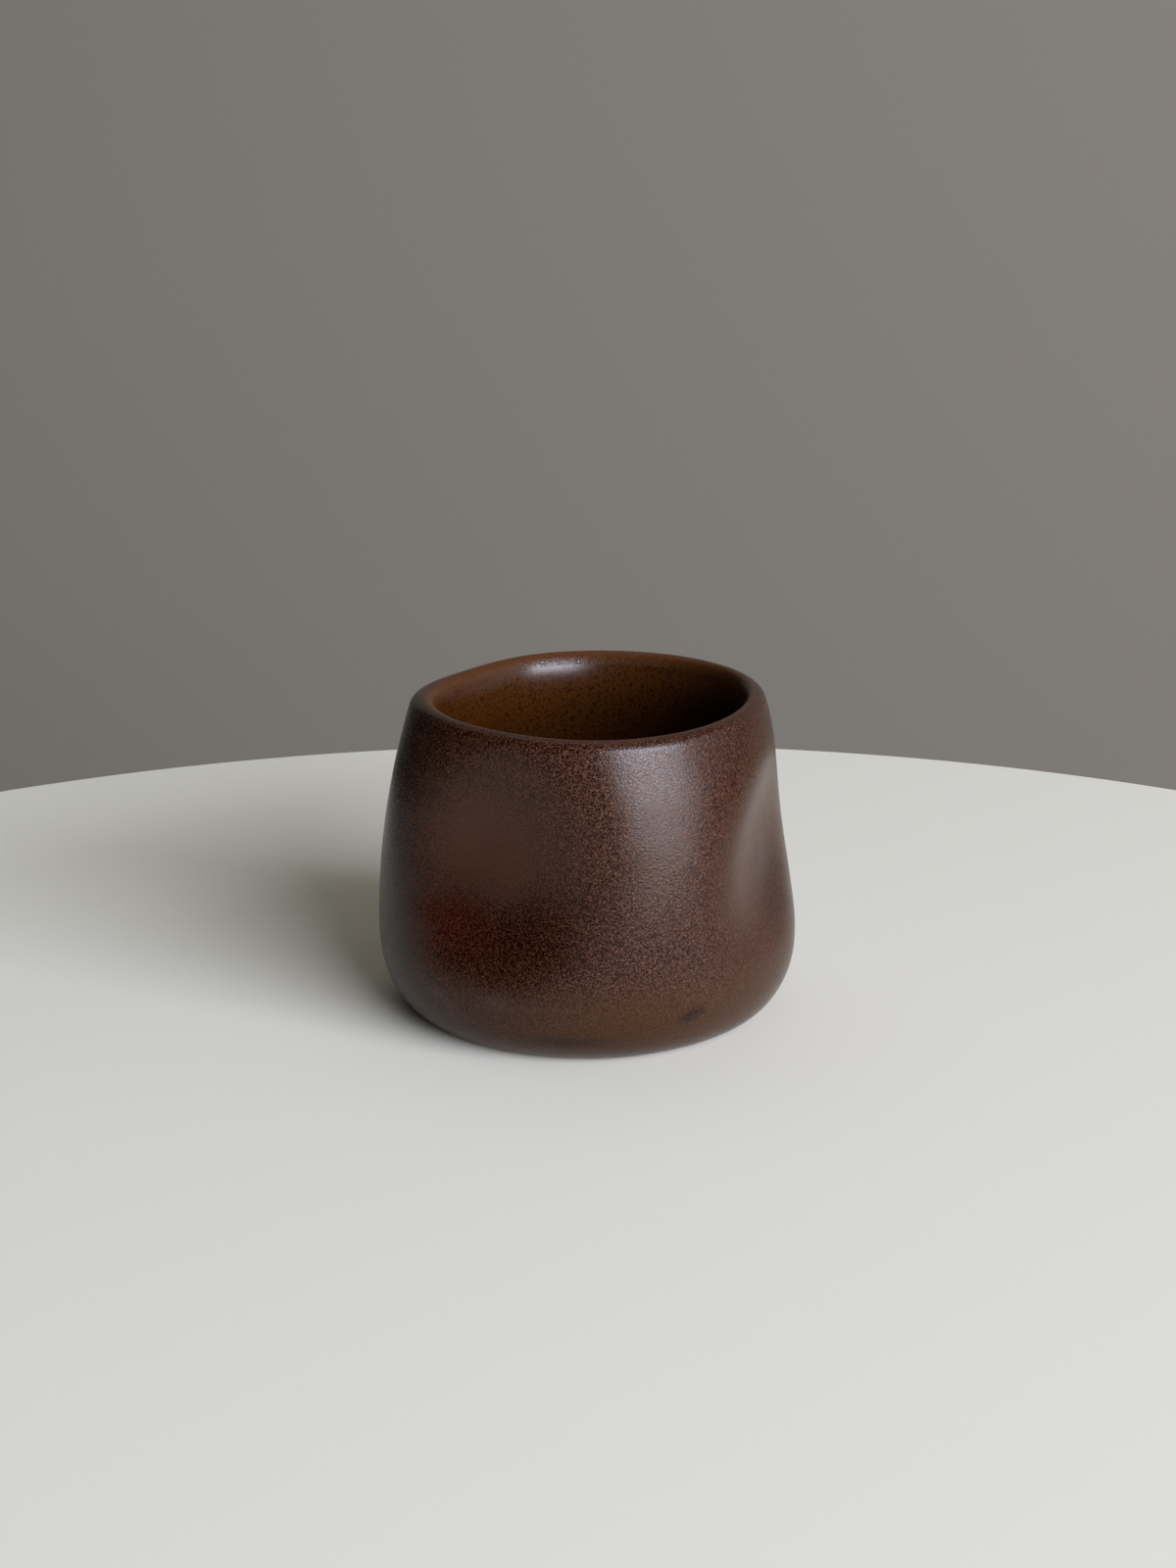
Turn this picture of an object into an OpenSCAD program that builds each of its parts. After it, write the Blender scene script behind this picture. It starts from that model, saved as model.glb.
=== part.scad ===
// A small stoneware cup with finger dents pressed into its wall.
// It stands on the plane z = 0 with its axis on z; the front is towards -y.
// Angles round the cup run from the front towards the right, +x.
// One profile is carried round the axis, and a sum of soft dents moves it in and out.

/* [Clay body] */
// Height of the clay at the top of the lip, above the table
lip_height = 65.9; // [58:0.1:76]
// Radius of the outer round of the lip, half the clay's thickness there
lip_round = 2.25; // [1.8:0.05:2.8]
// How far down inside the lip goes on rounding, to the narrowest place of the mouth
lip_drop = 6; // [3:0.1:9]
// Radius of the clay at the belly, its widest place
belly_radius = 43.3; // [41:0.1:47]
// Height of the widest place of the belly
belly_height = 18.4; // [14:0.2:22]
// How far the top line of the lip lies in from the belly, as a radius
mouth_inset = 8.4; // [5:0.1:12]
// How much more the wall leans in at the lip than it does on average
wall_curve = 1.65; // [1.2:0.01:2.2]
// How full the round between the belly and the foot is
base_fullness = 2.13; // [1.8:0.01:2.6]
// Thickness of the clay wall at the belly
wall_thickness = 4.4; // [3.4:0.1:5.4]
// How soon the thick lip thins down to the even wall below it
wall_thinning = 4; // [2.5:0.1:6]
// Thickness of the clay floor, from the table to the bottom of the bowl
floor_thickness = 5.8; // [4.5:0.1:7.5]
// How full the corner between the wall and the floor inside is
bowl_fullness = 2.5; // [2.1:0.05:3]

/* [Foot] */
// Outer radius of the flat ring that the cup stands on
foot_radius = 31; // [26:0.5:34]
// Width of that ring
foot_width = 4; // [2:0.5:7]
// Depth of the shallow hollow trimmed inside the ring
hollow_depth = 1.2; // [0.6:0.1:2]
// Width of the slope from the ring up into the hollow
hollow_slope = 2.5; // [1:0.5:5]
// Height below which the dents die away, so that the foot stays round
calm_height = 8; // [5:0.5:12]

/* [Glaze] */
// Thickness of the fired glaze
glaze_thickness = 0.4; // [0.3:0.05:0.6]
// Height above the table where the outer glaze was wiped off
glaze_line = 0.8; // [0.5:0.1:2]
// Where the two glazes meet on the round of the lip, in degrees over its top
glaze_seam = 140; // [110:5:165]

/* [Front left dent] */
// Depth of the dent
front_dent_depth = 6.5; // [0:0.1:8]
// Angle of its middle from the front
front_dent_angle = -28; // [-40:1:-16]
// Height of its middle
front_dent_height = 37.4; // [30:0.2:44]
// Half its width, in degrees round the cup
front_dent_spread = 29.5; // [22:0.5:38]
// Half its height
front_dent_reach = 23.8; // [18:0.2:30]
// How far it leans back towards the top, in degrees over the height of the cup
front_dent_lean = 6; // [0:1:60]
// How flat its middle and how firm its edge is, where 2 is a soft bell
front_dent_firmness = 2.75; // [2:0.05:3.5]

/* [Right dent] */
// Depth of the dent
right_dent_depth = 5.9; // [0:0.1:8]
// Angle of its middle from the front
right_dent_angle = 69.5; // [58:0.5:82]
// Height of its middle
right_dent_height = 35.2; // [28:0.2:42]
// Half its width, in degrees round the cup
right_dent_spread = 29; // [22:0.5:38]
// Half its height
right_dent_reach = 18.6; // [15:0.2:28]
// How far it leans back towards the top, in degrees over the height of the cup
right_dent_lean = 23; // [0:1:60]
// How flat its middle and how firm its edge is, where 2 is a soft bell
right_dent_firmness = 2.5; // [2:0.05:3.5]

/* [Back left dent] */
// Depth of the dent
back_dent_depth = 5.2; // [0:0.1:7]
// Angle of its middle from the front
back_dent_angle = -128.5; // [-145:0.5:-112]
// Height of its middle
back_dent_height = 54.7; // [44:0.2:62]
// Half its width, in degrees round the cup
back_dent_spread = 32; // [22:0.5:40]
// Half its height
back_dent_reach = 31; // [20:0.5:36]

/* [Mouth] */
// How much longer the mouth is from front to back than from side to side, as a radius
mouth_stretch = 0.7; // [0:0.1:1.6]
// Angle of that stretch from the front
mouth_stretch_angle = 7; // [-20:1:20]
// How far the mouth goes towards a soft triangle
mouth_corners = 0.9; // [0:0.1:1.6]
// Angle of the first corner from the front
mouth_corner_angle = 5.5; // [-20:0.5:20]
// How much higher the lip is at the front than in the middle of the sides
lip_rise = 0.4; // [0:0.1:1.2]
// How much thicker the lip is at the left, where the clay bunched up between two dents
corner_swell = 1.5; // [0:0.1:2.5]
// Angle of that swelling from the front
corner_swell_angle = -95; // [-110:1:-80]
// Half its width, in degrees round the cup
corner_swell_spread = 32; // [20:1:45]

/* [Hidden] */

// Facets round the cup, and rings along each stretch of the profile
around = 72;
bare_rings = 2;
base_rings = 8;
wall_rings = 11;
lip_rings = 5;
throat_rings = 3;
inside_rings = 9;
bowl_rings = 8;

// A dent falls to a third of its depth at its half width
dent_falloff = 1.2;
// The back dent is a soft bell and stands upright
soft_bell = 2;
upright = 0;
// The swelling of the lip dies away with this power of the height
swell_power = 4;

// The lip is a part circle round this place, and the wall runs into it without a kink
mouth_radius = belly_radius - mouth_inset;
lip_centre_height = lip_height - lip_round;
lip_lean = atan(wall_curve * mouth_inset / (lip_centre_height - belly_height));
wall_top_height = lip_centre_height + lip_round * sin(lip_lean);
wall_top_radius = mouth_radius + lip_round * cos(lip_lean);
wall_rise = wall_top_height - belly_height;
wall_drop = belly_radius - wall_top_radius;
wall_bend = tan(lip_lean) * wall_rise / wall_drop;

// The round of the base, from the foot to the belly
base_width = belly_radius - foot_radius;
base_power = 2 / base_fullness;
glaze_start = acos(pow(1 - glaze_line / belly_height, base_fullness / 2));

// The bowl inside, below the belly
bowl_radius = belly_radius - wall_thickness;
narrow_radius = mouth_radius - lip_round;
inside_rise = lip_height - lip_drop - belly_height;
bowl_depth = belly_height - floor_thickness;
bowl_power = 2 / bowl_fullness;

// A profile point is [radius, height, radial and upward share of the way it faces]
function facing(across, up) = [across, up] / norm([across, up]);

// Place on the round of the base, from 0 at the foot to 90 at the belly
function base_point(turn) =
    let (out = pow(sin(turn), base_power), down = pow(cos(turn), base_power))
    concat([foot_radius + base_width * out, belly_height * (1 - down)],
        facing(pow(out, base_fullness - 1) / base_width, -pow(down, base_fullness - 1) / belly_height));

// Place on the outside of the wall, from 0 at the belly to 1 at the lip
function wall_point(share) =
    let (lean = atan(tan(lip_lean) * pow(share, wall_bend - 1)))
    [belly_radius - wall_drop * pow(share, wall_bend), belly_height + wall_rise * share,
        cos(lean), sin(lean)];

// Place on the round of the lip, from the outside over the top and down inside
function lip_point(turn) =
    let (reach = turn > 90 ? lip_drop : lip_round)
    concat([mouth_radius + lip_round * cos(turn), lip_height - reach + reach * sin(turn)],
        facing(cos(turn) / lip_round, sin(turn) / reach));

// Place on the inside of the wall, from 0 at the belly to 1 at the narrowest place of the mouth
function inside_point(share) =
    let (down = 1 - share, widening = bowl_radius - narrow_radius,
        slope = widening * wall_thinning * (wall_thinning + 1) * down * pow(share, wall_thinning - 1))
    concat([bowl_radius - widening * pow(share, wall_thinning) * (1 + wall_thinning * down),
        belly_height + inside_rise * share], facing(-inside_rise, -slope));

// Place in the bowl inside, from 90 at the belly to 0 in the middle of the floor
function bowl_point(turn) =
    let (out = pow(sin(turn), bowl_power), down = pow(cos(turn), bowl_power))
    concat([bowl_radius * out, belly_height - bowl_depth * down],
        facing(-pow(out, bowl_fullness - 1) / bowl_radius, pow(down, bowl_fullness - 1) / bowl_depth));

// Stretches of the clay's profile, from the middle of the underside to the middle of the bowl
hollow_radius = foot_radius - foot_width;
underside = [
    [0, hollow_depth, 0, -1],
    [hollow_radius - hollow_slope, hollow_depth, 0, -1],
    [hollow_radius, 0, 0, -1]];
bare_base = [for (i = [0:bare_rings - 1]) base_point(glaze_start * i / bare_rings)];
glazed_base = [for (i = [0:base_rings]) base_point(glaze_start + (90 - glaze_start) * i / base_rings)];
outside_wall = [for (i = [1:wall_rings]) wall_point(i / wall_rings)];
outside_lip = [for (i = [1:lip_rings]) lip_point(lip_lean + (glaze_seam - lip_lean) * i / lip_rings)];
inside_lip = [for (i = [0:throat_rings]) lip_point(glaze_seam + (180 - glaze_seam) * i / throat_rings)];
inside_wall = [for (i = [1:inside_rings]) inside_point(1 - i / inside_rings)];
bowl = [for (i = [1:bowl_rings]) bowl_point(90 * (1 - i / bowl_rings))];

outer_clay = concat(glazed_base, outside_wall, outside_lip);
inner_clay = concat(inside_lip, inside_wall, bowl);
clay_profile = concat(underside, bare_base, outer_clay, [for (i = [1:len(inner_clay) - 1]) inner_clay[i]]);

// The same profile with a coat of glaze on it
function coated(points) =
    [for (p = points) [p[0] + glaze_thickness * p[2], p[1] + glaze_thickness * p[3], p[2], p[3]]];
function backwards(points) = [for (i = [len(points) - 1:-1:0]) points[i]];

// The turn from one angle to another, between -180 and 180 degrees
function turned(from, to) = to - from - 360 * round((to - from) / 360);

// How deep one dent is at an angle and a height
function dent(depth, angle, height, spread, reach, lean, firmness, a, z) =
    let (side = turned(angle + lean * (z - height) / lip_height, a) / spread, rise = (z - height) / reach)
    depth * exp(-dent_falloff * pow(norm([side, rise]), firmness));

function all_dents(a, z) =
    dent(front_dent_depth, front_dent_angle, front_dent_height, front_dent_spread,
        front_dent_reach, front_dent_lean, front_dent_firmness, a, z)
    + dent(right_dent_depth, right_dent_angle, right_dent_height, right_dent_spread,
        right_dent_reach, right_dent_lean, right_dent_firmness, a, z)
    + dent(back_dent_depth, back_dent_angle, back_dent_height, back_dent_spread,
        back_dent_reach, upright, soft_bell, a, z);

// How far the mouth is out of round at an angle
function mouth_out(a) =
    mouth_stretch * cos(2 * (a - mouth_stretch_angle)) + mouth_corners * cos(3 * (a - mouth_corner_angle));

// How far the inner side of the lip swells in at an angle
function swell_in(a) =
    let (side = turned(corner_swell_angle, a) / corner_swell_spread)
    corner_swell * exp(-dent_falloff * side * side);

// A profile point at an angle round the cup, moved by the dents and the mouth's shape
function placed(p, a) =
    let (up = p[1] / lip_height, near = min(1, p[1] / calm_height), calm = near * near * (3 - 2 * near),
        share = p[1] < belly_height ? min(1, p[0] / bowl_radius) : 1,
        swell = swell_in(a) * pow(up, swell_power) * (1 - p[2]) / 2,
        r = p[0] - share * calm * (all_dents(a, p[1]) - up * up * mouth_out(a) + swell))
    [r * sin(a), -r * cos(a), p[1] + share * up * up * lip_rise * cos(a)];

function ring(p) = [for (i = [0:around - 1]) placed(p, 360 * i / around)];

// Two triangles between four corners, split along the shorter diagonal
function quad(points, a, b, c, d) =
    norm(points[a] - points[c]) < norm(points[b] - points[d])
    ? [[a, b, c], [a, c, d]]
    : [[a, b, d], [b, c, d]];

// The faces between two rings that start at these places in the list of points
function band(points, low, high) =
    [for (i = [0:around - 1]) let (j = (i + 1) % around)
        each quad(points, low + i, high + i, high + j, low + j)];

// A closed skin whose profile starts and ends on the axis
module skin_from_axis_to_axis(profile) {
    last = len(profile) - 1;
    rings = [for (i = [1:last - 1]) each ring(profile[i])];
    points = concat(rings, [placed(profile[0], 0), placed(profile[last], 0)]);
    start = len(rings);
    top = start - around;
    faces = concat(
        [for (i = [0:around - 1]) [start, i, (i + 1) % around]],
        [for (i = [1:last - 2]) each band(points, (i - 1) * around, i * around)],
        [for (i = [0:around - 1]) [start + 1, top + (i + 1) % around, top + i]]);
    polyhedron(points, faces);
}

// A closed skin whose profile is a loop clear of the axis
module skin_round_loop(profile) {
    points = [for (p = profile) each ring(p)];
    faces = [for (i = [0:len(profile) - 1])
        each band(points, i * around, (i + 1) % len(profile) * around)];
    polyhedron(points, faces);
}

// The thrown and dented wall, floor and foot, all one piece of fired clay
module clay_body() {
    color("#8b6b52") skin_from_axis_to_axis(clay_profile);
}

// The iron brown coat outside, from just above the table over the top of the lip
module outer_glaze() {
    color("#4b2e27") skin_round_loop(concat(coated(outer_clay), backwards(outer_clay)));
}

// The coat inside, from the lip down over the floor
module liner_glaze() {
    color("#5a3517") skin_from_axis_to_axis(concat(backwards(inner_clay), coated(inner_clay)));
}

clay_body();
outer_glaze();
liner_glaze();
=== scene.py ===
from math import radians

import bmesh
import bpy
import numpy as np
from mathutils import Matrix, Vector, noise


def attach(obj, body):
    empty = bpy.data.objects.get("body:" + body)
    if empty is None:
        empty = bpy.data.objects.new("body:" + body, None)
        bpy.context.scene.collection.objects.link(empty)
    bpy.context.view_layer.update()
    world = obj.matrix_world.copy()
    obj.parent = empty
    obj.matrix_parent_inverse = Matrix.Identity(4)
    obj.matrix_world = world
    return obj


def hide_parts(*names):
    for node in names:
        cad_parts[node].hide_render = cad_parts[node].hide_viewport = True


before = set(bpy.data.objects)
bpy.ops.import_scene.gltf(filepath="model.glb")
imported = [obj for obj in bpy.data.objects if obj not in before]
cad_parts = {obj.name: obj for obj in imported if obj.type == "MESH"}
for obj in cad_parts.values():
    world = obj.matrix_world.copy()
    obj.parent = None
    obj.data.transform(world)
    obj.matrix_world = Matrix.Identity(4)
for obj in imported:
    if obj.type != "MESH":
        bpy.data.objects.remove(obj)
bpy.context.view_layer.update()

# The clay body
# One piece of fired stoneware, thrown with a rounded base and a thick round lip, and pressed in with
# a thumb in three places while it was soft. Its trimmed foot is bare and carries the cup.

# Lengths are in metres, and angles in degrees: round the cup they run from the front towards the right
LIP_HEIGHT = 0.0659
LIP_ROUND = 0.00225
LIP_DROP = 0.006
BELLY_RADIUS = 0.0433
BELLY_HEIGHT = 0.0184
BASE_FULLNESS = 2.13
MOUTH_INSET = 0.0084
WALL_CURVE = 1.65
WALL_THICKNESS = 0.0044
WALL_THINNING = 4
FLOOR_THICKNESS = 0.0058
BOWL_FULLNESS = 2.5
FOOT_RADIUS = 0.031
FOOT_WIDTH = 0.004
HOLLOW_DEPTH = 0.0012
HOLLOW_SLOPE = 0.0025
CALM_HEIGHT = 0.008

FRONT_DENT = dict(depth=0.0065, angle=-28, height=0.0374, spread=29.5, reach=0.0238, lean=6, firmness=2.75)
RIGHT_DENT = dict(depth=0.0059, angle=69.5, height=0.0352, spread=29, reach=0.0186, lean=23, firmness=2.5)
BACK_DENT = dict(depth=0.0052, angle=-128.5, height=0.0547, spread=32, reach=0.031, lean=0, firmness=2)
DENT_FALLOFF = 1.2
MOUTH_STRETCH = 0.0007
MOUTH_STRETCH_ANGLE = 7
STRETCHED_ENDS = 2
MOUTH_CORNER = 0.0009
MOUTH_CORNER_ANGLE = 5.5
MOUTH_CORNERS = 3
MOUTH_FADE = 2
LIP_RISE = 0.0004
CORNER_SWELL = 0.0015
CORNER_SWELL_ANGLE = -95
CORNER_SWELL_SPREAD = 32
SWELL_FADE = 4

MOUTH_RADIUS = BELLY_RADIUS - MOUTH_INSET
LIP_CENTRE = LIP_HEIGHT - LIP_ROUND
LIP_LEAN = np.degrees(np.arctan(WALL_CURVE * MOUTH_INSET / (LIP_CENTRE - BELLY_HEIGHT)))
BOWL_RADIUS = BELLY_RADIUS - WALL_THICKNESS

COLUMNS = 480
HOLLOW_RINGS = 90
SLOPE_RINGS = 10
FOOT_RINGS = 12
BASE_RINGS = 40
WALL_RINGS = 30
LIP_RINGS = 24
BOWL_RINGS = 30
SHARP_EDGE = 45
SAME_PLACE = 0.000001


def sine(degrees):
    return np.sin(np.radians(degrees))


def cosine(degrees):
    return np.cos(np.radians(degrees))


def rounded(share):
    """A share from 0 to 1 that starts and ends softly."""
    share = np.clip(share, 0, 1)
    return share * share * (3 - 2 * share)


def places(radius, height, out, up):
    """Profile places, one a row: radius, height, and the outward and upward share of the way they face."""
    size = np.hypot(out, up)
    return np.stack([radius, height, out / size, up / size], axis=-1)


def base_places(turns):
    """On the round of the base, from 0 degrees at the foot to 90 at the belly."""
    out = sine(turns) ** (2 / BASE_FULLNESS)
    down = np.maximum(cosine(turns), 0) ** (2 / BASE_FULLNESS)
    width = BELLY_RADIUS - FOOT_RADIUS
    return places(FOOT_RADIUS + width * out, BELLY_HEIGHT * (1 - down),
                  out ** (BASE_FULLNESS - 1) / width, -down ** (BASE_FULLNESS - 1) / BELLY_HEIGHT)


def wall_places(shares):
    """On the outside of the wall, from 0 at the belly to 1 where it runs into the lip."""
    rise = LIP_CENTRE + LIP_ROUND * sine(LIP_LEAN) - BELLY_HEIGHT
    drop = MOUTH_INSET - LIP_ROUND * cosine(LIP_LEAN)
    slope = np.tan(np.radians(LIP_LEAN))
    bend = slope * rise / drop
    return places(BELLY_RADIUS - drop * shares ** bend, BELLY_HEIGHT + rise * shares,
                  np.ones_like(shares), slope * shares ** (bend - 1))


def lip_places(turns):
    """On the round of the lip, from 0 degrees facing outward over 90 at the top and down inside to 180."""
    reach = np.where(turns > 90, LIP_DROP, LIP_ROUND)
    return places(MOUTH_RADIUS + LIP_ROUND * cosine(turns), LIP_HEIGHT - reach + reach * sine(turns),
                  cosine(turns) / LIP_ROUND, sine(turns) / reach)


def inside_places(shares):
    """On the inside of the wall, from 0 at the belly to 1 at the narrowest place of the mouth."""
    widening = BOWL_RADIUS - (MOUTH_RADIUS - LIP_ROUND)
    rise = LIP_HEIGHT - LIP_DROP - BELLY_HEIGHT
    thinned = shares ** WALL_THINNING * (1 + WALL_THINNING * (1 - shares))
    slope = widening * WALL_THINNING * (WALL_THINNING + 1) * (1 - shares) * shares ** (WALL_THINNING - 1)
    return places(BOWL_RADIUS - widening * thinned, BELLY_HEIGHT + rise * shares,
                  np.full_like(shares, -rise), -slope)


def bowl_places(turns):
    """In the bowl inside, from 90 degrees at the belly to 0 in the middle of the floor."""
    out = sine(turns) ** (2 / BOWL_FULLNESS)
    down = np.maximum(cosine(turns), 0) ** (2 / BOWL_FULLNESS)
    depth = BELLY_HEIGHT - FLOOR_THICKNESS
    return places(BOWL_RADIUS * out, BELLY_HEIGHT - depth * down,
                  -out ** (BOWL_FULLNESS - 1) / BOWL_RADIUS, down ** (BOWL_FULLNESS - 1) / depth)


def turned(start, end):
    """The turn from one angle to another, between -180 and 180 degrees."""
    return (end - start + 180) % 360 - 180


def pressed(dent, angle, height):
    """How deep one dent is at an angle and a height."""
    leaned = dent["angle"] + dent["lean"] * (height - dent["height"]) / LIP_HEIGHT
    side = turned(leaned, angle) / dent["spread"]
    rise = (height - dent["height"]) / dent["reach"]
    return dent["depth"] * np.exp(-DENT_FALLOFF * np.hypot(side, rise) ** dent["firmness"])


def carried_round(profile, coat=0.0):
    """The profile at every angle round the cup, with a coat on it, moved by the dents and the mouth."""
    angle = np.linspace(0, 360, COLUMNS, endpoint=False)[None, :]
    out, up = profile[:, 2:3], profile[:, 3:4]
    radius = profile[:, 0:1] + coat * out
    height = profile[:, 1:2] + coat * up
    raised = height / LIP_HEIGHT
    reached = np.where(height < BELLY_HEIGHT, np.minimum(1, radius / BOWL_RADIUS), 1)
    dents = sum(pressed(dent, angle, height) for dent in (FRONT_DENT, RIGHT_DENT, BACK_DENT))
    mouth = (MOUTH_STRETCH * cosine(STRETCHED_ENDS * (angle - MOUTH_STRETCH_ANGLE))
             + MOUTH_CORNER * cosine(MOUTH_CORNERS * (angle - MOUTH_CORNER_ANGLE)))
    beside_swell = turned(CORNER_SWELL_ANGLE, angle) / CORNER_SWELL_SPREAD
    facing_in = (1 - out) / 2
    swell = CORNER_SWELL * np.exp(-DENT_FALLOFF * beside_swell ** 2) * raised ** SWELL_FADE * facing_in
    moved_in = dents - raised ** MOUTH_FADE * mouth + swell
    radius = radius - reached * rounded(height / CALM_HEIGHT) * moved_in
    return np.stack([radius * sine(angle), -radius * cosine(angle),
                     height + reached * raised ** MOUTH_FADE * LIP_RISE * cosine(angle)], axis=-1)


def skin(name, rings, finish, node):
    """A closed skin over rings of points. The rings make a loop, or shrink to the axis at both ends."""
    count = len(rings)
    shut = np.ptp(rings[0], axis=0).max() < SAME_PLACE
    step = np.arange(COLUMNS)
    beside = (step + 1) % COLUMNS
    faces = []
    for low in range(count - 1 if shut else count):
        high = (low + 1) % count
        a, b = low * COLUMNS + step, low * COLUMNS + beside
        c, d = high * COLUMNS + beside, high * COLUMNS + step
        faces += np.stack([a, b, c, d], axis=-1).tolist()
    mesh = bpy.data.meshes.new(name)
    mesh.from_pydata(rings.reshape(-1, 3).tolist(), [], faces)
    if shut:
        welded = bmesh.new()
        welded.from_mesh(mesh)
        bmesh.ops.remove_doubles(welded, verts=welded.verts, dist=SAME_PLACE)
        welded.to_mesh(mesh)
        welded.free()
    mesh.validate()
    mesh.shade_smooth()
    mesh.set_sharp_from_angle(angle=radians(SHARP_EDGE))
    mesh.materials.append(finish)
    piece = bpy.data.objects.new(name, mesh)
    bpy.context.scene.collection.objects.link(piece)
    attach(piece, "root")
    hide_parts(node)
    return piece


def add(finish, kind, inputs, **settings):
    """Adds a shader node; an input is a value to set, or another node's output to join."""
    made = finish.node_tree.nodes.new("ShaderNode" + kind)
    for setting, value in settings.items():
        setattr(made, setting, value)
    for name, value in inputs.items():
        if isinstance(value, bpy.types.NodeSocket):
            finish.node_tree.links.new(value, made.inputs[name])
        else:
            made.inputs[name].default_value = value
    return made


# The sockets that a Mix node uses for colours
MIX_SHARE = 0
MIX_UNDER = 6
MIX_OVER = 7
MIX_RESULT = 2


def joined(finish, share, under, over):
    """One colour over another, by a share that a node gives; each may be a colour or a node's output."""
    made = add(finish, "Mix", {}, data_type="RGBA")
    finish.node_tree.links.new(share, made.inputs[MIX_SHARE])
    for socket, value in ((MIX_UNDER, under), (MIX_OVER, over)):
        if isinstance(value, bpy.types.NodeSocket):
            finish.node_tree.links.new(value, made.inputs[socket])
        else:
            made.inputs[socket].default_value = (*value, 1)
    return made.outputs[MIX_RESULT]


def between(finish, value, low, high, start=0.0, end=1.0):
    """A value read as a soft share: start below low, end above high."""
    made = add(finish, "MapRange", {"Value": value, "From Min": low, "From Max": high,
                                    "To Min": start, "To Max": end}, interpolation_type="SMOOTHSTEP")
    return made.outputs["Result"]


def worked(finish, operation, first, second):
    """Two values added, multiplied or otherwise worked together."""
    made = add(finish, "Math", {0: first, 1: second}, operation=operation)
    return made.outputs[0]


def speckle(finish, grain, detail=2.0, warp=0.0):
    """A noise from 0 to 1 all through the piece, whose spots are about this size across."""
    where = add(finish, "TexCoord", {}).outputs["Object"]
    made = add(finish, "TexNoise", {"Vector": where, "Scale": 1 / grain,
                                    "Detail": detail, "Distortion": warp})
    return made.outputs["Fac"]


def surface(finish, colour, bump):
    """Joins a colour and a bump to the finish's shader, and returns the shader."""
    shader = finish.node_tree.nodes["Principled BSDF"]
    finish.node_tree.links.new(colour, shader.inputs["Base Color"])
    finish.node_tree.links.new(bump.outputs["Normal"], shader.inputs["Normal"])
    return shader


CLAY_BROWN = (0.20, 0.12, 0.075)
CLAY_DARK = (0.11, 0.062, 0.04)
CLAY_ROUGHNESS = 0.85
CLAY_CLOUD = 0.006
CLOUD_EDGES = (0.35, 0.65)
CLAY_GRIT = 0.0005
GRIT_EDGES = (0.62, 0.72)
GRIT_SHARE = 0.6
GRIT_RELIEF = 0.6
GRIT_HEIGHT = 0.00008
TRIMMING_MARK = 0.0009
TRIMMING_DEPTH = 0.00003

bare_clay = bpy.data.materials.new("bare_clay")
bare_clay.use_nodes = True
clay_cloud = between(bare_clay, speckle(bare_clay, CLAY_CLOUD, detail=4.0), *CLOUD_EDGES)
clay_grit = speckle(bare_clay, CLAY_GRIT, detail=3.0)
clay_tone = joined(bare_clay, clay_cloud, CLAY_DARK, CLAY_BROWN)
clay_tone = joined(bare_clay, between(bare_clay, clay_grit, *GRIT_EDGES, 0, GRIT_SHARE), clay_tone, CLAY_DARK)
clay_bump = add(bare_clay, "Bump", {"Height": clay_grit, "Strength": GRIT_RELIEF, "Distance": GRIT_HEIGHT})
clay_shader = surface(bare_clay, clay_tone, clay_bump)
clay_shader.inputs["Roughness"].default_value = CLAY_ROUGHNESS


def underside(radii, heights):
    """Places under the foot, which all face straight down."""
    return places(radii, heights, np.zeros_like(radii), -np.ones_like(radii))


hollow_radius = FOOT_RADIUS - FOOT_WIDTH
hollow_radii = np.linspace(0, hollow_radius - HOLLOW_SLOPE, HOLLOW_RINGS)
trimming = TRIMMING_DEPTH * (1 + cosine(360 * hollow_radii / TRIMMING_MARK))
slope_shares = np.linspace(0, 1, SLOPE_RINGS)[1:]
slope_radii = hollow_radius - HOLLOW_SLOPE * (1 - slope_shares)
foot_radii = np.linspace(hollow_radius, FOOT_RADIUS, FOOT_RINGS)[1:-1]
clay_profile = np.concatenate([
    underside(hollow_radii, HOLLOW_DEPTH - trimming),
    underside(slope_radii, HOLLOW_DEPTH * (1 - rounded(slope_shares))),
    underside(foot_radii, np.zeros_like(foot_radii)),
    base_places(np.linspace(0, 90, BASE_RINGS)),
    wall_places(np.linspace(0, 1, WALL_RINGS)[1:]),
    lip_places(np.linspace(LIP_LEAN, 180, LIP_RINGS)[1:]),
    inside_places(np.linspace(1, 0, WALL_RINGS)[1:]),
    bowl_places(np.linspace(90, 0, BOWL_RINGS)[1:])])
skin("cup_clay_body", carried_round(clay_profile), bare_clay, "clay_body")

# The outer glaze
# An iron glaze that the cup was dipped in, wiped off just above the table. It is satin and maroon,
# broken all over by fine tan worms, tan over the lip, and marked by a few stains. Light and shade are
# also painted into its colour. Under the front dent it is darker and redder, partly from pooled glaze
# and partly as painted shade. On the front and right dents it is plain brown, a painted sheen where
# reflections hide the worms. Low at the front it is tan, painted light from the table. A dark patch on
# the right dent is painted shade.

GLAZE_THICKNESS = 0.0004
GLAZE_LINE = 0.0008
GLAZE_SEAM = 140
GLAZE_ROLL = 0.0008
MARK_WIDTH = 0.022
MARK_HEIGHT = 0.006
MARK_DEPTH = 0.00007
HELD_IN = 0.00002
GLAZE_BASE_RINGS = 50
GLAZE_WALL_RINGS = 90
GLAZE_LIP_RINGS = 24
# The side that lies on the clay has one ring for this many of the side that shows
BACK_STEP = 6

MAROON = (0.0085, 0.0010, 0.0003)
WORM_TAN = (0.100, 0.0350, 0.0105)
WORM = 0.00030
WORM_EDGE = 0.055
WORM_BREAK = 0.0005
BREAK_EDGES = (0.36, 0.50)
NOISE_MIDDLE = 0.5
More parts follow.
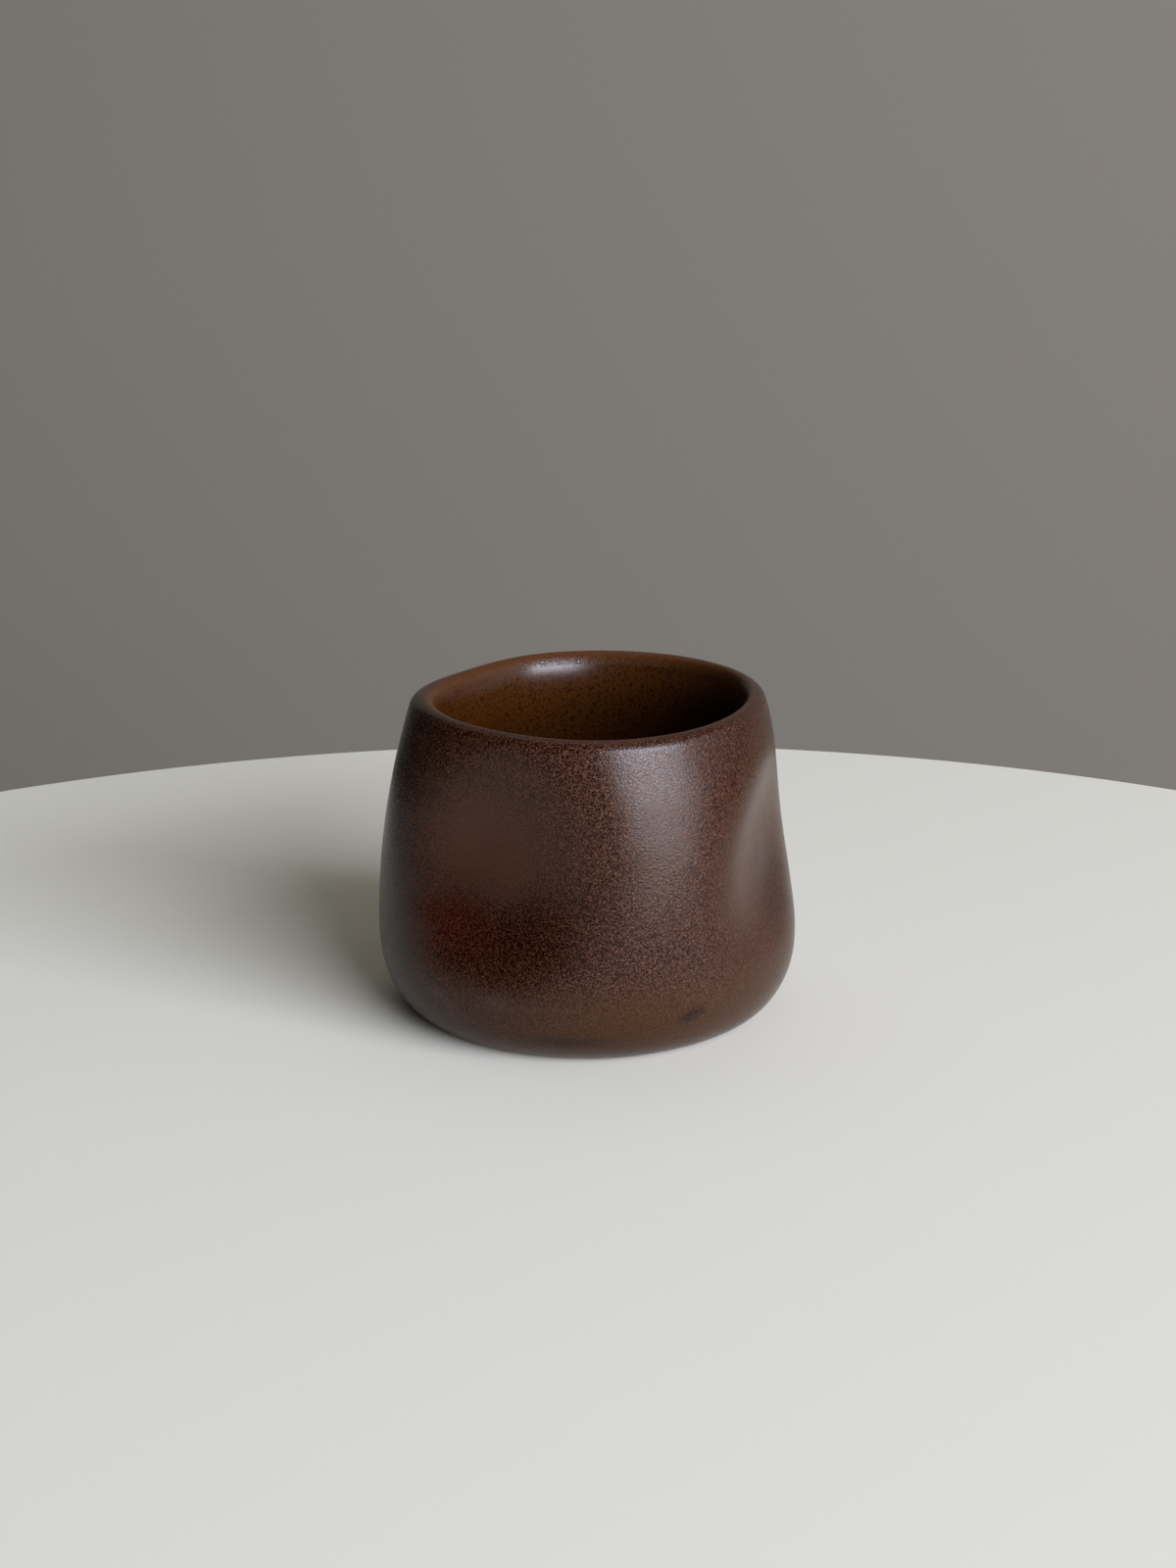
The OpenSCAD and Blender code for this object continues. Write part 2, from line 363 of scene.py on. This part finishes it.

# Each spot below is a soft patch of its own tone, placed like a dent; its depth is its strength
# Darker, redder glaze under the front dent: partly glaze pooled there, and partly painted shade where the
# dent's lower slope reflects the dark room
POOL_AND_SHADE_RED = (0.0045, 0.0003, 0.0001)
POOL_AND_SHADE_WORM = (0.062, 0.0170, 0.0040)
FRONT_POOL_AND_SHADE = dict(depth=1, angle=-32, height=0.0285, spread=35, reach=0.0135, lean=0, firmness=2.4)
# Plain brown without worms on the front and right dents: a painted sheen, standing for the reflections that
# hide the worms there
SHEEN_PATCH_BROWN = (0.034, 0.0102, 0.0029)
SHEEN_PATCH_SHARE = 0.85
FRONT_SHEEN_PATCH = dict(depth=1, angle=-33, height=0.0440, spread=24, reach=0.0115, lean=0, firmness=3)
RIGHT_SHEEN_PATCH = dict(depth=1, angle=75, height=0.0330, spread=38, reach=0.0230, lean=0, firmness=3)
# Warmer tan low at the front: painted light reflected up from the pale table
TABLE_BOUNCE_TAN = (0.032, 0.0110, 0.0022)
TABLE_BOUNCE_PATCH = dict(depth=0.75, angle=25, height=0.0050, spread=66, reach=0.0140, lean=0, firmness=4)
BLOOM_RED = (0.026, 0.0010, 0.0002)
LEFT_BLOOM = dict(depth=0.45, angle=-45, height=0.0265, spread=15, reach=0.0070, lean=0, firmness=2)
# A dark brown for the real stains and for the painted shade on the right dent
STAIN_AND_SHADE_BROWN = (0.007, 0.0012, 0.0003)
BLEMISH = dict(depth=1, angle=28.5, height=0.0106, spread=3.6, reach=0.0017, lean=80, firmness=3)
LOW_STAIN = dict(depth=0.8, angle=-6, height=0.0062, spread=14, reach=0.0015, lean=0, firmness=2)
# Not a stain: painted shade in the right dent, beside its bright stripe
RIGHT_DENT_SHADE = dict(depth=0.55, angle=77, height=0.0285, spread=15, reach=0.0110, lean=0, firmness=3)
HAZE = (0.045, 0.028, 0.027)
LEFT_HAZE = dict(depth=0.6, angle=-46, height=0.0122, spread=4, reach=0.0026, lean=-150, firmness=2)
FRONT_HAZE = dict(depth=0.35, angle=-27, height=0.0130, spread=6, reach=0.0022, lean=0, firmness=2)
PATCHY_GRAIN = 0.0011
PATCHY_EDGES = (0.25, 0.45)

LIP_TAN = (0.047, 0.0136, 0.0019)
LINER_OCHRE = (0.031, 0.0090, 0.0012)
LIP_TAN_START = 60
TAN_EDGES = (0.1, 0.5)
OCHRE_EDGES = (0.6, 1.0)

GLAZE_ROUGHNESS = 0.17
WORM_ROUGHNESS = 0.38
GLAZE_SHINE = 0.27
SATIN_GRAIN = 0.00036
SATIN_WAVER = 3.5
POOL_AND_SHADE_RELIEF = 0.3
POOL_AND_SHADE_EDGES = (0.1, 0.9)
GLAZE_RELIEF = 0.00002


def hand_marks(points):
    """How much of the glaze is missing at each point, over the low ridges that the fingers left."""
    scale = Vector((1 / MARK_WIDTH, 1 / MARK_WIDTH, 1 / MARK_HEIGHT))
    marks = [noise.noise(Vector(point) * scale) for point in points.reshape(-1, 3).tolist()]
    return HELD_IN + MARK_DEPTH * (1 + np.clip(marks, -1, 1).reshape(points.shape[:2]))


def with_attribute(piece, name, values):
    """Gives each vertex of a piece its own share, for the finish to read."""
    layer = piece.data.attributes.new(name, "FLOAT", "POINT")
    layer.data.foreach_set("value", values.astype(np.float32).ravel())


def read(finish, name):
    """The share that each vertex was given under this name."""
    return add(finish, "Attribute", {}, attribute_name=name).outputs["Fac"]


def worms(finish):
    """The fine worms of a broken glaze: short crooked lines where a noise passes its middle."""
    beside_worm = worked(finish, "SUBTRACT", speckle(finish, WORM, detail=1.0, warp=0.4), NOISE_MIDDLE)
    beside_worm = worked(finish, "ABSOLUTE", beside_worm, 0.0)
    whole = between(finish, beside_worm, 0.0, WORM_EDGE, 1.0, 0.0)
    return worked(finish, "MULTIPLY", whole, between(finish, speckle(finish, WORM_BREAK), *BREAK_EDGES))


iron_glaze = bpy.data.materials.new("iron_glaze")
iron_glaze.use_nodes = True
worm_share = worms(iron_glaze)
# Painted shade in part: the pool under the front dent is darker and redder
pooled_and_shaded = read(iron_glaze, "pooled_and_shaded")
glaze_tone = joined(iron_glaze, pooled_and_shaded, MAROON, POOL_AND_SHADE_RED)
glaze_tone = joined(iron_glaze, read(iron_glaze, "reddened"), glaze_tone, BLOOM_RED)
worm_tone = joined(iron_glaze, pooled_and_shaded, WORM_TAN, POOL_AND_SHADE_WORM)
glaze_tone = joined(iron_glaze, worm_share, glaze_tone, worm_tone)
# Painted sheen: the worms give way to plain brown on the front and right dents
glaze_tone = joined(iron_glaze, read(iron_glaze, "beyond_sheen_patches"), SHEEN_PATCH_BROWN, glaze_tone)
# Painted table light: warmer tan low at the front
glaze_tone = joined(iron_glaze, read(iron_glaze, "table_bounce"), glaze_tone, TABLE_BOUNCE_TAN)
patchy = between(iron_glaze, speckle(iron_glaze, PATCHY_GRAIN), *PATCHY_EDGES)
# The dark brown marks are real stains, except the one on the right dent, which is painted shade
for mark, mark_tone in (("stained_and_shaded", STAIN_AND_SHADE_BROWN), ("hazed", HAZE)):
    mark_share = worked(iron_glaze, "MULTIPLY", read(iron_glaze, mark), patchy)
    glaze_tone = joined(iron_glaze, mark_share, glaze_tone, mark_tone)
over_lip = read(iron_glaze, "over_lip")
glaze_tone = joined(iron_glaze, between(iron_glaze, over_lip, *TAN_EDGES), glaze_tone, LIP_TAN)
glaze_tone = joined(iron_glaze, between(iron_glaze, over_lip, *OCHRE_EDGES), glaze_tone, LINER_OCHRE)
satin = between(iron_glaze, worm_share, 0.0, 1.0, GLAZE_ROUGHNESS, WORM_ROUGHNESS)
relief = between(iron_glaze, pooled_and_shaded, *POOL_AND_SHADE_EDGES, 1.0, POOL_AND_SHADE_RELIEF)
waver = worked(iron_glaze, "MULTIPLY", speckle(iron_glaze, SATIN_GRAIN, detail=1.0), SATIN_WAVER)
glaze_height = worked(iron_glaze, "ADD", worm_share, waver)
glaze_bump = add(iron_glaze, "Bump", {"Height": glaze_height, "Strength": relief, "Distance": GLAZE_RELIEF})
glaze_shader = surface(iron_glaze, glaze_tone, glaze_bump)
glaze_shader.inputs["Specular IOR Level"].default_value = GLAZE_SHINE
iron_glaze.node_tree.links.new(satin, glaze_shader.inputs["Roughness"])

glaze_start = np.degrees(np.arccos((1 - GLAZE_LINE / BELLY_HEIGHT) ** (BASE_FULLNESS / 2)))
lip_turns = np.linspace(LIP_LEAN, GLAZE_SEAM, GLAZE_LIP_RINGS)[1:]
outer_profile = np.concatenate([
    base_places(np.linspace(glaze_start, 90, GLAZE_BASE_RINGS)),
    wall_places(np.linspace(0, 1, GLAZE_WALL_RINGS)[1:]),
    lip_places(lip_turns)])
from_edge = np.append(0, np.cumsum(np.hypot(*np.diff(outer_profile[:, :2], axis=0).T)))
edge_fullness = np.sqrt(1 - (1 - np.clip(from_edge / GLAZE_ROLL, 0, 1)) ** 2)[:, None]
outer_coat = edge_fullness * (GLAZE_THICKNESS - hand_marks(carried_round(outer_profile)))
outer_back = outer_profile[::-BACK_STEP]
outer_rings = np.concatenate([carried_round(outer_profile, outer_coat), carried_round(outer_back)])
outer = skin("cup_outer_glaze", outer_rings, iron_glaze, "outer_glaze")

lip_shares = np.zeros(len(outer_rings))
lip_shares[len(outer_profile) - len(lip_turns):len(outer_profile)] = (
    (lip_turns - LIP_TAN_START) / (GLAZE_SEAM - LIP_TAN_START))
with_attribute(outer, "over_lip", np.repeat(np.clip(lip_shares, 0, 1), COLUMNS))
glaze_angles = np.linspace(0, 360, COLUMNS, endpoint=False)[None, :]
glaze_heights = np.concatenate([outer_profile, outer_back])[:, 1:2]
marks = {
    # The pool under the front dent: partly pooled glaze, partly painted shade
    "pooled_and_shaded": (FRONT_POOL_AND_SHADE,),
    # Painted light reflected up from the table, low at the front
    "table_bounce": (TABLE_BOUNCE_PATCH,),
    "reddened": (LEFT_BLOOM,),
    # Two real stains, and painted shade on the right dent
    "stained_and_shaded": (BLEMISH, LOW_STAIN, RIGHT_DENT_SHADE),
    "hazed": (LEFT_HAZE, FRONT_HAZE)}
for mark, spots in marks.items():
    with_attribute(outer, mark, sum(pressed(spot, glaze_angles, glaze_heights) for spot in spots))
# Painted sheen: where the dents' reflections hide the worms, the glaze is plain brown
sheen_patches = sum(pressed(patch, glaze_angles, glaze_heights) for patch in (FRONT_SHEEN_PATCH, RIGHT_SHEEN_PATCH))
with_attribute(outer, "beyond_sheen_patches", 1 - SHEEN_PATCH_SHARE * np.minimum(sheen_patches, 1))

# The liner glaze
# The glaze that was poured into the cup and out again before the outside was dipped. It is amber
# brown with fine dark specks, less satin than the outside, and meets it on the inner round of the lip.

LINER_DARK = (0.009, 0.0020, 0.0003)
LINER_SPECK = 0.0006
SPECK_EDGES = (0.30, 0.55)
SPECK_RELIEF = 0.3
SPECK_HEIGHT = 0.00004
LINER_ROUGHNESS = 0.28
LINER_LIP_RINGS = 16
LINER_WALL_RINGS = 90
LINER_BOWL_RINGS = 60

liner_glaze = bpy.data.materials.new("liner_glaze")
liner_glaze.use_nodes = True
liner_specks = speckle(liner_glaze, LINER_SPECK, detail=3.0, warp=0.3)
liner_tone = joined(liner_glaze, between(liner_glaze, liner_specks, *SPECK_EDGES), LINER_DARK, LINER_OCHRE)
liner_bump = add(liner_glaze, "Bump", {"Height": liner_specks, "Strength": SPECK_RELIEF,
                                       "Distance": SPECK_HEIGHT})
liner_shader = surface(liner_glaze, liner_tone, liner_bump)
liner_shader.inputs["Roughness"].default_value = LINER_ROUGHNESS
liner_shader.inputs["Specular IOR Level"].default_value = GLAZE_SHINE

inner_profile = np.concatenate([
    lip_places(np.linspace(GLAZE_SEAM, 180, LINER_LIP_RINGS)),
    inside_places(np.linspace(1, 0, LINER_WALL_RINGS)[1:]),
    bowl_places(np.linspace(90, 0, LINER_BOWL_RINGS)[1:])])
inner_coat = GLAZE_THICKNESS - hand_marks(carried_round(inner_profile))
inner_back = np.concatenate([inner_profile[::-BACK_STEP][:-1], inner_profile[:1]])
liner_rings = np.concatenate([carried_round(inner_back), carried_round(inner_profile, inner_coat)])
skin("cup_liner_glaze", liner_rings, liner_glaze, "liner_glaze")

# The table and the wall behind it
# A plain pale round table top that the cup stands on, and a plain grey wall behind, neither of them
# part of the cup.

TABLE_PALE = (0.615, 0.585, 0.495)
TABLE_RADIUS = 0.293
TABLE_CENTRE = (-0.003, -0.107)
TABLE_THICKNESS = 0.02
TABLE_SIDES = 256
WALL_GREY = (0.150, 0.136, 0.110)
WALL_WIDTH = 4
WALL_PLACE = (1.25, 1.4, 0.6)
UPRIGHT = 90


def plain(name, colour):
    """A matt paint, for what stands round the cup."""
    paint = bpy.data.materials.new(name)
    paint.use_nodes = True
    paint_shader = paint.node_tree.nodes["Principled BSDF"]
    paint_shader.inputs["Base Color"].default_value = (*colour, 1)
    paint_shader.inputs["Roughness"].default_value = 1
    paint_shader.inputs["Specular IOR Level"].default_value = 0
    return paint


bpy.ops.mesh.primitive_cylinder_add(vertices=TABLE_SIDES, radius=TABLE_RADIUS, depth=TABLE_THICKNESS,
                                    location=(*TABLE_CENTRE, -TABLE_THICKNESS / 2))
table = bpy.context.object
table.name = "table"
table.data.materials.append(plain("table_pale", TABLE_PALE))
bpy.ops.mesh.primitive_plane_add(size=WALL_WIDTH, location=WALL_PLACE, rotation=(radians(UPRIGHT), 0, 0))
wall = bpy.context.object
wall.name = "wall"
wall.data.materials.append(plain("wall_grey", WALL_GREY))

# The light
# Soft daylight from a low window in front at the right, made of three sheets one before another so
# that it fades towards its edges. The sky and a higher window stand above it, and weak light comes
# back from the side wall, from behind and from the ceiling.

LEVEL = (0, 0, 0.17)
CUP_MIDDLE = (0, 0, 0.04)
WINDOW_TINT = (1.0, 0.94, 0.96)


def lamp(name, width, height, place, aim, power, colour):
    """A large soft sheet of light that faces a place."""
    light = bpy.data.lights.new(name, "AREA")
    light.shape = "RECTANGLE"
    light.size = width
    light.size_y = height
    light.energy = power
    light.color = colour
    holder = bpy.data.objects.new(name, light)
    bpy.context.scene.collection.objects.link(holder)
    holder.location = place
    holder.visible_camera = False
    holder.rotation_euler = (Vector(aim) - Vector(place)).to_track_quat("-Z", "Y").to_euler()


lamp("window", width=4.0, height=1.2, place=(1.88, -2.28, 0.17), aim=LEVEL, power=50,
     colour=WINDOW_TINT)
lamp("window_middle", width=2.6, height=1.2, place=(1.82, -2.20, 0.17), aim=LEVEL, power=31,
     colour=WINDOW_TINT)
lamp("window_heart", width=1.3, height=1.2, place=(1.76, -2.13, 0.17), aim=LEVEL, power=13,
     colour=WINDOW_TINT)
lamp("sky", width=2.6, height=0.9, place=(1.70, -2.05, 1.03), aim=CUP_MIDDLE, power=178,
     colour=(0.76, 0.82, 1.0))
lamp("upper_window", width=2.4, height=1.2, place=(1.55, -1.85, 1.85), aim=CUP_MIDDLE, power=40,
     colour=(0.84, 0.90, 1.0))
lamp("side_wall", width=2.4, height=2.0, place=(2.7, -0.3, 1.0), aim=CUP_MIDDLE, power=15,
     colour=(1, 0.97, 0.93))
lamp("fill", width=2.0, height=1.4, place=(-0.4, 0.9, 2.0), aim=CUP_MIDDLE, power=5,
     colour=(1, 0.98, 0.95))
lamp("ceiling", width=1.5, height=1.5, place=(0.3, 0.3, 1.6), aim=(0, 0, 0), power=2.2,
     colour=(1, 1, 1))

ROOM_DARK = 0.015
room = bpy.data.worlds.new("room")
room.use_nodes = True
bpy.context.scene.world = room
room.node_tree.nodes["Background"].inputs["Color"].default_value = (ROOM_DARK, ROOM_DARK, ROOM_DARK, 1)

# The camera
# It stands in front of the cup and a little above, tilted down, as for the photograph. Its place and
# tilt are real ones, and its lens gives the photograph's angle of view.

PHOTO_HEIGHT = 1600
FOCAL_PIXELS = 2976.65
SENSOR = 36
CAMERA_PLACE = (0.00006, -0.572, 0.224614)
CAMERA_TILT = 17.281
CAMERA_ROLL = -0.262

lens = bpy.data.cameras.new("camera")
lens.sensor_fit = "VERTICAL"
lens.sensor_height = SENSOR
lens.lens = FOCAL_PIXELS / PHOTO_HEIGHT * SENSOR
camera = bpy.data.objects.new("camera", lens)
bpy.context.scene.collection.objects.link(camera)
camera.matrix_world = (Matrix.Translation(CAMERA_PLACE)
                       @ Matrix.Rotation(radians(UPRIGHT - CAMERA_TILT), 4, "X")
                       @ Matrix.Rotation(radians(CAMERA_ROLL), 4, "Z"))
bpy.context.scene.camera = camera
bpy.context.scene.view_settings.view_transform = "Standard"
